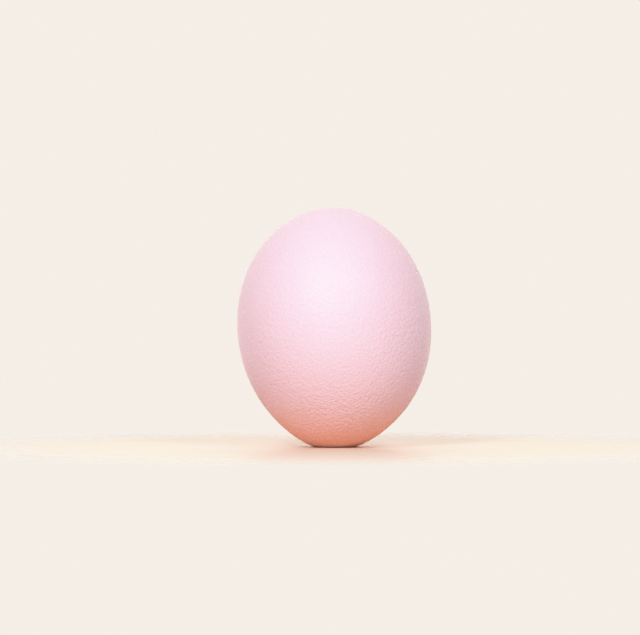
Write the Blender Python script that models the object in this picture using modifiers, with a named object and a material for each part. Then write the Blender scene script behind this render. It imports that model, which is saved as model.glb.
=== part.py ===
"""An ostrich egg, whole and in one piece, standing on the small flat spot at its narrower end.

Units are metres and +Z is up. The origin is at the foot: the flat spot lies in the plane Z = 0,
and the middle of the egg's bounding box is over the origin. The outline follows the usual formula
for birds' eggs: an ellipse whose width is multiplied by a short series in the height. The middle
line leans a little to the left (-X) high up and to the right (+X) low down, as grown eggs do.
"""

import math

import bmesh
import bpy

# Driving dimensions, in metres
LENGTH = 0.1605  # of the whole egg, tip to tip, before the narrow end lost its tip
BREADTH = 0.1279  # of the plain ellipse, which the series below leaves almost as it is
TIP_LOST = 0.0025  # how much of that length the flat spot takes away
RIM_ROUNDING = 0.0006  # width of the worn edge around the flat spot

# Series in the height share, which runs from -1 at the narrow tip to 1 at the top. The first term
# is for the share itself, the second for its square, and so on.
TAPER = (0.020, -0.020, 0.037, -0.081)  # added to 1, multiplies the ellipse's width
LEAN = (-0.00225, 0.00040, 0.00155, -0.00080)  # metres that the middle line stands to the right

# Fineness of the mesh
SEGMENTS = 84  # round the egg
RINGS = 46  # from tip to tip
RIM_STEPS = 3
SHARP_ANGLE = math.radians(15)  # the rim of the flat spot bends more than this, the shell less

# Satin pink finish
SHELL_PINK = (0.90, 0.62, 0.74, 1.0)
SHELL_ROUGHNESS = 0.42


def series(terms, share):
    """The sum of a series, with these terms, at this height share."""
    return sum(term * share ** (power + 1) for power, term in enumerate(terms))


def shape_egg(bm):
    """Moves the points of a unit sphere onto the egg, with its lower tip TIP_LOST below Z = 0."""
    for vert in bm.verts:
        share = vert.co.z
        width = BREADTH / 2 * (1 + series(TAPER, share))
        vert.co.x = width * vert.co.x + series(LEAN, share)
        vert.co.y = width * vert.co.y
        vert.co.z = LENGTH / 2 * (share + 1) - TIP_LOST


def centre_over_origin(bm):
    """Puts the middle of the egg's width over the origin."""
    across = [vert.co.x for vert in bm.verts]
    bmesh.ops.translate(bm, verts=bm.verts, vec=(-(min(across) + max(across)) / 2, 0, 0))


def cut_flat_spot(bm):
    """Cuts the egg off at Z = 0 and closes the cut with one flat face."""
    everything = bm.verts[:] + bm.edges[:] + bm.faces[:]
    cut = bmesh.ops.bisect_plane(
        bm, geom=everything, plane_co=(0, 0, 0), plane_no=(0, 0, -1), clear_outer=True
    )
    rim = [item for item in cut["geom_cut"] if isinstance(item, bmesh.types.BMEdge)]
    bmesh.ops.holes_fill(bm, edges=rim, sides=0)
    bmesh.ops.recalc_face_normals(bm, faces=bm.faces)


def egg_mesh():
    """The egg as a mesh, still with a sharp rim around the flat spot."""
    bm = bmesh.new()
    bmesh.ops.create_uvsphere(bm, u_segments=SEGMENTS, v_segments=RINGS, radius=1.0)
    shape_egg(bm)
    centre_over_origin(bm)
    cut_flat_spot(bm)
    mesh = bpy.data.meshes.new("egg")
    bm.to_mesh(mesh)
    bm.free()
    mesh.shade_smooth()
    mesh.set_sharp_from_angle(angle=SHARP_ANGLE)
    return mesh


def satin_pink():
    """The shell's even, satin pink finish."""
    material = bpy.data.materials.new("satin_pink_shell")
    material.use_nodes = True
    shader = material.node_tree.nodes["Principled BSDF"]
    shader.inputs["Base Color"].default_value = SHELL_PINK
    shader.inputs["Roughness"].default_value = SHELL_ROUGHNESS
    shader.inputs["Metallic"].default_value = 0.0
    material.diffuse_color = SHELL_PINK
    return material


def add_egg(collection):
    """Makes the egg, with the edge around its flat spot worn round, and puts it in the collection."""
    egg = bpy.data.objects.new("egg", egg_mesh())
    collection.objects.link(egg)
    egg.data.materials.append(satin_pink())
    rim = egg.modifiers.new("worn rim", "BEVEL")
    rim.width = RIM_ROUNDING
    rim.segments = RIM_STEPS
    rim.limit_method = "ANGLE"
    rim.angle_limit = SHARP_ANGLE
    return egg


def main():
    for old in list(bpy.data.objects):
        bpy.data.objects.remove(old)
    collection = bpy.data.collections.new("ostrich_egg")
    bpy.context.scene.collection.children.link(collection)
    add_egg(collection)


main()
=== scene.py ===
"""The looks of the ostrich egg: its finely pebbled, satin pink shell, on a plain pale floor.

Everything is in metres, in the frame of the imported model: +Z is up, the floor is at Z = 0, and the
camera looks along +Y. The shell is one closed mesh with the outline of the CAD solid. Its coarser
grain, of shallow pebbles, is real relief. Its finer grain, which shows most, is in the material.
"""

import math

import bmesh
import bpy
import numpy as np
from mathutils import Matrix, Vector, noise


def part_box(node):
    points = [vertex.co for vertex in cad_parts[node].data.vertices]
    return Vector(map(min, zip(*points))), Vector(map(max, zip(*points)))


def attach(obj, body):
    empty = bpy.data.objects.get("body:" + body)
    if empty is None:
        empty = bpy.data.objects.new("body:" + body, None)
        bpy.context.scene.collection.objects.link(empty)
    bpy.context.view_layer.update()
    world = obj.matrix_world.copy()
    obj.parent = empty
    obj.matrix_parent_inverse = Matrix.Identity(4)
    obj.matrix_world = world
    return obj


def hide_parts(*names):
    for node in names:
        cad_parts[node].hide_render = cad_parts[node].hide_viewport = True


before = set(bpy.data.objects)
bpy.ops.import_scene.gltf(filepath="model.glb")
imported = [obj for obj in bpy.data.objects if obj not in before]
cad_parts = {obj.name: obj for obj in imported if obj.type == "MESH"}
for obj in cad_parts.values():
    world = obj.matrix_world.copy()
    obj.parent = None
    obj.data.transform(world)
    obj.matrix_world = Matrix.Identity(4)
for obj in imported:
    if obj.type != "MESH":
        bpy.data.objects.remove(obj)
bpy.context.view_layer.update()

# The outline of the solid, with the same meaning as in the part's source
TIP_LOST = 0.0025
TAPER = (0.020, -0.020, 0.037, -0.081)
LEAN = (-0.00225, 0.00040, 0.00155, -0.00080)
BREADTH_SHARE = 0.9993  # breadth of the plain ellipse, as a share of the egg's own depth

# The mesh of the shell: a cube with this many squares along each edge, blown up to a ball
GRID = 128
RIM_ROUNDING = 0.0003  # how far above and below Z = 0 the shell bends into the flat spot

# The coarser grain, which is relief
PEBBLE = 0.0016  # size of the noise that makes the pebbles, which come out about 3 mm apart
DIP_LIFT = 0.5  # added to that noise, which is mostly between -0.5 and 0.5, so its dips are near 0
PEBBLE_HEIGHT = 0.00016
SWELL_SIZE = 0.0140  # size of the areas with higher and lower pebbles
SWELL = 0.35  # how much higher and lower they are there, as a share
GRAIN_FADE = 0.0020  # height above the floor over which the grain starts

# How deep all the grain is, as a share of its usual depth: most near the foot, least high up, and
# more again in a patch on each side
DEEP_BELOW = 0.010
SHALLOW_ABOVE = 0.070
DEEP = 1.34
SHALLOW = 0.72
PATCHES = (  # the middle of each patch, its radius, and how much deeper the grain is there
    (Vector((0.047, -0.043, 0.074)), 0.045, 0.50),
    (Vector((-0.047, -0.042, 0.065)), 0.040, 0.25),
)

# The finer grain, in the material
DOME = 0.0016  # size of the cells that make its small domes
DOME_SOFTNESS = 0.6  # how far neighbouring domes run into each other
UNEVEN = 0.0014  # size of the unevenness on the domes
UNEVEN_DETAIL = 2  # how many finer layers it has
GRAIN_RANGE = (-0.15, 0.40)  # its raw height in the creases and on the domes
DOME_HEIGHT = 0.000135

# The shell's satin finish
SHELL_PINK = (0.91, 0.658, 0.753, 1.0)
SHELL_ROSE = (0.89, 0.638, 0.732, 1.0)
TONE_SIZE = 0.025  # size of the pink and the rose areas
TONE_DETAIL = 3  # how many finer layers they have
# Painted shade: the creases of the grain are coloured a darker pink, as if shade fell in them
CREASE_SHADE_PINK = (0.85, 0.587, 0.694, 1.0)
CREASE_SHADE = 0.5  # how far the deepest creases take on the painted shade
DOME_ROUGHNESS = 0.42
CREASE_ROUGHNESS = 0.50
SHELL_IOR = 1.38

# The floor looks pale. The light that it returns onto the egg is warm, most so close to the foot
FLOOR_PALE = (0.83, 0.70, 0.58, 1.0)
FLOOR_WARM = (0.89, 0.470, 0.20, 1.0)
FLOOR_LESS_WARM = (0.72, 0.50, 0.39, 1.0)
FLOOR_WARM_TO = (0.04, 0.10)  # distances over which it gets less warm
FLOOR_FADE = (0.15, 0.30)  # distances over which the floor fades into the backdrop
FLOOR_ROUGHNESS = 0.5
FLOOR_SIDES = 128
FLOOR_GAP = 0.0001  # keeps the floor off the flat spot

# The backdrop as it is seen, and its glow onto the egg from each side: direction and colour
BACKDROP = (0.930, 0.858, 0.800, 1.0)
GLOWS = (
    ((0, 1, 0), (1.80, 1.66, 1.54)),
    ((0, -1, 0), (0.91, 0.91, 0.91)),
    ((0, 0, 1), (0.20, 0.20, 0.20)),
    ((0, 0, -1), (0.09, 0.09, 0.09)),
    ((-1, 0, 0), (0.05, 0.05, 0.05)),
)

# Two square soft lamps: name, turn to the right and rise in degrees, size, and power in watts
LAMPS = (
    ("left_lamp", -18, 30, 0.3, 9.7),
    ("right_lamp", 26, 34, 0.2, 4.4),
)
LAMP_DISTANCE = 1.5
LAMP_AIM = Vector((0, 0, 0.08))

# How the view rolls off the brightest values, as a camera does
SHOULDER = 0.85  # brightness from which it does
SHOULDER_STEPS = 8
BRIGHTEST = 2.0
ALL_COLOURS = 3  # which of the view's curves bends red, green and blue alike

# The camera: how far in front of the egg, to its left and above the floor, and its lens in mm
CAMERA_AWAY = 2.1
CAMERA_LEFT = 0.0094
CAMERA_HEIGHT = 0.0853
LENS = 179.0

# A mix node has one set of sockets for each kind of value, all with the same names. These are the
# numbers of the two inputs and of the output that are for colours
MIX_FIRST = 6
MIX_SECOND = 7
MIX_RESULT = 2


def series(terms, share):
    """The sum of a series, with these terms, at this height share."""
    return sum(term * share ** (power + 1) for power, term in enumerate(terms))


def smooth_step(value, start, end, low, high):
    """Goes smoothly from low at start to high at end."""
    share = min(1, max(0, (value - start) / (end - start)))
    return low + (high - low) * share ** 2 * (3 - 2 * share)


def read(mesh, what):
    """The points ("co") or the normals ("normal") of a mesh, as rows of three numbers."""
    values = np.empty(len(mesh.vertices) * 3)
    mesh.vertices.foreach_get(what, values)
    return values.reshape(-1, 3)


def write_points(mesh, points):
    """Moves the points of a mesh to new places."""
    mesh.vertices.foreach_set("co", points.ravel())
    mesh.update()


def ball_grid():
    """A unit ball made of six grids of squares of nearly one size."""
    bm = bmesh.new()
    bmesh.ops.create_cube(bm, size=2.0)
    bmesh.ops.subdivide_edges(bm, edges=bm.edges[:], cuts=GRID - 1, use_grid_fill=True)
    for vert in bm.verts:
        vert.co = Vector([math.tan(math.pi / 4 * along) for along in vert.co]).normalized()
    mesh = bpy.data.meshes.new("egg_skin")
    bm.to_mesh(mesh)
    bm.free()
    return mesh


def foot_height(z):
    """Height of a point of the shell once its tip is worn flat, with a short curve at the edge."""
    if z > RIM_ROUNDING:
        return z
    if z < -RIM_ROUNDING:
        return 0.0
    return (z + RIM_ROUNDING) ** 2 / (4 * RIM_ROUNDING)


def shape_shell(points, low, high):
    """Moves the points of the unit ball onto the smooth outline of the egg."""
    length = high.z - low.z + TIP_LOST
    breadth = BREADTH_SHARE * (high.y - low.y)
    share = points[:, 2].copy()
    width = breadth / 2 * (1 + series(TAPER, share))
    points[:, 0] = width * points[:, 0] + series(LEAN, share)
    points[:, 1] = width * points[:, 1]
    points[:, 2] = [foot_height(length / 2 * (z + 1) - TIP_LOST) for z in share]
    points[:, 0] -= (points[:, 0].min() + points[:, 0].max()) / 2
    return points


def pebbles(point):
    """Height of the pebbled grain at a point: about 0 in its dips and 1 on its pebbles."""
    swell = 1 + SWELL * noise.noise(point / SWELL_SIZE)
    return swell * (DIP_LIFT + noise.noise(point / PEBBLE))


def grain_depth(point):
    """How deep the grain is at a point, as a share of its usual depth."""
    depth = smooth_step(point.z, DEEP_BELOW, SHALLOW_ABOVE, DEEP, SHALLOW)
    for middle, radius, deeper in PATCHES:
        depth += smooth_step((point - middle).length, 0, radius, deeper, 0)
    return depth


def add_relief(points, normals):
    """Raises the grain along the normals, more and more from the edge of the flat spot up."""
    for place, normal in zip(points, normals):
        point = Vector(place)
        started = min(1.0, point.z / GRAIN_FADE)
        if started > 0:
            place += started * grain_depth(point) * PEBBLE_HEIGHT * pebbles(point) * normal
    return points


def node(tree, kind, inputs=None, **settings):
    """Adds a node. An input that is given as another node's output is linked, any other is set."""
    made = tree.nodes.new("ShaderNode" + kind)
    for name, value in settings.items():
        setattr(made, name, value)
    for name, value in (inputs or {}).items():
        if isinstance(value, bpy.types.NodeSocket):
            tree.links.new(value, made.inputs[name])
        else:
            made.inputs[name].default_value = value
    return made


def smooth_node(tree, value, start, end, low, high):
    """The same as smooth_step, in nodes."""
    step = node(tree, "MapRange", {
        "Value": value, "From Min": start, "From Max": end, "To Min": low, "To Max": high
    }, interpolation_type="SMOOTHSTEP")
    return step.outputs["Result"]


def mix_node(tree, share, first, second):
    """Mixes two colours, from the first at a share of 0 to the second at 1."""
    mixed = node(tree, "Mix", {
        "Factor": share, MIX_FIRST: first, MIX_SECOND: second
    }, data_type="RGBA")
    return mixed.outputs[MIX_RESULT]


def new_material(name):
    """A new material, with its node tree and its shader."""
    material = bpy.data.materials.new(name)
    material.use_nodes = True
    return material, material.node_tree, material.node_tree.nodes["Principled BSDF"]


def fine_grain(tree, where):
    """Height of the finer grain: about 0 in the creases between its domes and 1 on top of them."""
    domes = node(tree, "TexVoronoi", {
        "Vector": where, "Scale": 1 / DOME, "Smoothness": DOME_SOFTNESS
    }, feature="SMOOTH_F1")
    uneven = node(tree, "TexNoise", {"Vector": where, "Scale": 1 / UNEVEN, "Detail": UNEVEN_DETAIL})
    height = node(tree, "Math", {
        0: domes.outputs["Distance"], 1: -1, 2: uneven.outputs["Fac"]
    }, operation="MULTIPLY_ADD")
    spread = node(tree, "MapRange", {
        "Value": height.outputs["Value"], "From Min": GRAIN_RANGE[0], "From Max": GRAIN_RANGE[1]
    }, clamp=False)
    return spread.outputs["Result"]


def depth_nodes(tree, where):
    """The same depth of the grain as in grain_depth, in nodes."""
    height = node(tree, "SeparateXYZ", {"Vector": where}).outputs["Z"]
    depth = smooth_node(tree, height, DEEP_BELOW, SHALLOW_ABOVE, DEEP, SHALLOW)
    for middle, radius, deeper in PATCHES:
        away = node(tree, "VectorMath", {0: where, 1: middle}, operation="DISTANCE").outputs["Value"]
        in_patch = smooth_node(tree, away, 0, radius, deeper, 0)
        depth = node(tree, "Math", {0: depth, 1: in_patch}, operation="ADD").outputs["Value"]
    return depth


def shell_material():
    """Satin pink finish over fine grain, with painted shade: a darker pink in the creases."""
    material, tree, shader = new_material("satin_pink_shell")
    shader.inputs["IOR"].default_value = SHELL_IOR
    where = node(tree, "TexCoord").outputs["Object"]
    grain = fine_grain(tree, where)
    tone = node(tree, "TexNoise", {"Vector": where, "Scale": 1 / TONE_SIZE, "Detail": TONE_DETAIL})
    ground = mix_node(tree, tone.outputs["Fac"], SHELL_ROSE, SHELL_PINK)
    # Painted shade: the colour darkens towards the creases of the grain
    crease_shade = node(tree, "MapRange", {"Value": grain, "To Min": CREASE_SHADE, "To Max": 0})
    colour = mix_node(tree, crease_shade.outputs["Result"], ground, CREASE_SHADE_PINK)
    roughness = node(tree, "MapRange", {
        "Value": grain, "To Min": CREASE_ROUGHNESS, "To Max": DOME_ROUGHNESS
    })
    relief = node(tree, "Math", {0: grain, 1: depth_nodes(tree, where)}, operation="MULTIPLY")
    bump = node(tree, "Bump", {"Height": relief.outputs["Value"], "Distance": DOME_HEIGHT})
    tree.links.new(colour, shader.inputs["Base Color"])
    tree.links.new(roughness.outputs["Result"], shader.inputs["Roughness"])
    tree.links.new(bump.outputs["Normal"], shader.inputs["Normal"])
    return material


def add_shell():
    """The egg's shell, with its grain, in place of the plain solid."""
    mesh = ball_grid()
    write_points(mesh, shape_shell(read(mesh, "co"), *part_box("egg")))
    write_points(mesh, add_relief(read(mesh, "co"), read(mesh, "normal")))
    mesh.shade_smooth()
    mesh.materials.append(shell_material())
    shell = bpy.data.objects.new("egg_shell", mesh)
    bpy.context.scene.collection.objects.link(shell)
    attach(shell, "root")
    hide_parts("egg")


def floor_material():
    """Plain and pale to look at, warm in the light that it returns, and fading out far from the egg."""
    material, tree, shader = new_material("pale_floor")
    shader.inputs["Roughness"].default_value = FLOOR_ROUGHNESS
    where = node(tree, "TexCoord").outputs["Object"]
    distance = node(tree, "VectorMath", {0: where}, operation="LENGTH").outputs["Value"]
    warmth = smooth_node(tree, distance, *FLOOR_WARM_TO, 1, 0)
    returned = mix_node(tree, warmth, FLOOR_LESS_WARM, FLOOR_WARM)
    looked_at = node(tree, "LightPath").outputs["Is Camera Ray"]
    tree.links.new(mix_node(tree, looked_at, returned, FLOOR_PALE), shader.inputs["Base Color"])
    tree.links.new(smooth_node(tree, distance, *FLOOR_FADE, 1, 0), shader.inputs["Alpha"])
    return material


def add_floor():
    """A round floor under the egg."""
    bm = bmesh.new()
    bmesh.ops.create_circle(bm, cap_ends=True, segments=FLOOR_SIDES, radius=FLOOR_FADE[1])
    mesh = bpy.data.meshes.new("floor")
    bm.to_mesh(mesh)
    bm.free()
    mesh.materials.append(floor_material())
    floor = bpy.data.objects.new("floor", mesh)
    floor.location.z = -FLOOR_GAP
    bpy.context.scene.collection.objects.link(floor)


def glow_nodes(tree):
    """The sum of the glows, each brightest in its own direction and gone a quarter turn from it."""
    direction = node(tree, "TexCoord").outputs["Generated"]
    total = (0, 0, 0)
    for towards, colour in GLOWS:
        along = node(tree, "VectorMath", {0: direction, 1: towards}, operation="DOT_PRODUCT")
        ahead = node(tree, "Math", {0: along.outputs["Value"], 1: 0}, operation="MAXIMUM")
        added = node(tree, "VectorMath", {
            0: ahead.outputs["Value"], 1: colour, 2: total
        }, operation="MULTIPLY_ADD")
        total = added.outputs["Vector"]
    return total


def add_backdrop():
    """A plain pale backdrop on all sides, whose glow onto the egg differs from side to side."""
    world = bpy.data.worlds.new("backdrop")
    bpy.context.scene.world = world
    world.cycles.sampling_method = "NONE"  # a light as even as this needs no samples of its own
    world.use_nodes = True
    tree = world.node_tree
    light = node(tree, "Background", {"Color": glow_nodes(tree)})
    seen = node(tree, "Background", {"Color": BACKDROP})
    looked_at = node(tree, "LightPath").outputs["Is Camera Ray"]
    choice = node(tree, "MixShader", {
        "Fac": looked_at, 1: light.outputs["Background"], 2: seen.outputs["Background"]
    })
    tree.links.new(choice.outputs["Shader"], tree.nodes["World Output"].inputs["Surface"])


def add_lamp(name, turn, rise, size, power):
    """A square soft lamp that looks at the middle of the egg."""
    light = bpy.data.lights.new(name, "AREA")
    light.shape = "SQUARE"
    light.size = size
    light.energy = power
    turn = math.radians(turn)
    rise = math.radians(rise)
    away = Vector((math.sin(turn) * math.cos(rise), -math.cos(turn) * math.cos(rise), math.sin(rise)))
    lamp = bpy.data.objects.new(name, light)
    lamp.location = LAMP_AIM + LAMP_DISTANCE * away
    lamp.rotation_euler = away.to_track_quat("Z", "Y").to_euler()
    bpy.context.scene.collection.objects.link(lamp)


def soften_highlights():
    """Bends the view's curve over above the shoulder, so that no bright value is clipped."""
    view = bpy.context.scene.view_settings
    view.view_transform = "Standard"
    view.use_curve_mapping = True
    view.curve_mapping.clip_max_x = BRIGHTEST
    view.curve_mapping.extend = "EXTRAPOLATED"
    curve = view.curve_mapping.curves[ALL_COLOURS]
    curve.points[-1].location = (BRIGHTEST, 1)
    room = 1 - SHOULDER
    for step in range(SHOULDER_STEPS):
        over = (BRIGHTEST - SHOULDER) * (step / SHOULDER_STEPS) ** 2
        curve.points.new(SHOULDER + over, 1 - room * math.exp(-over / room))
    view.curve_mapping.update()


def add_camera():
    """The camera, level and square to the egg's front."""
    camera_data = bpy.data.cameras.new("camera")
    camera_data.lens = LENS
    camera = bpy.data.objects.new("camera", camera_data)
    camera.location = (-CAMERA_LEFT, -CAMERA_AWAY, CAMERA_HEIGHT)
    camera.rotation_euler = (math.pi / 2, 0, 0)
    bpy.context.scene.collection.objects.link(camera)
    bpy.context.scene.camera = camera


add_shell()
add_floor()
add_backdrop()
for lamp in LAMPS:
    add_lamp(*lamp)
soften_highlights()
add_camera()
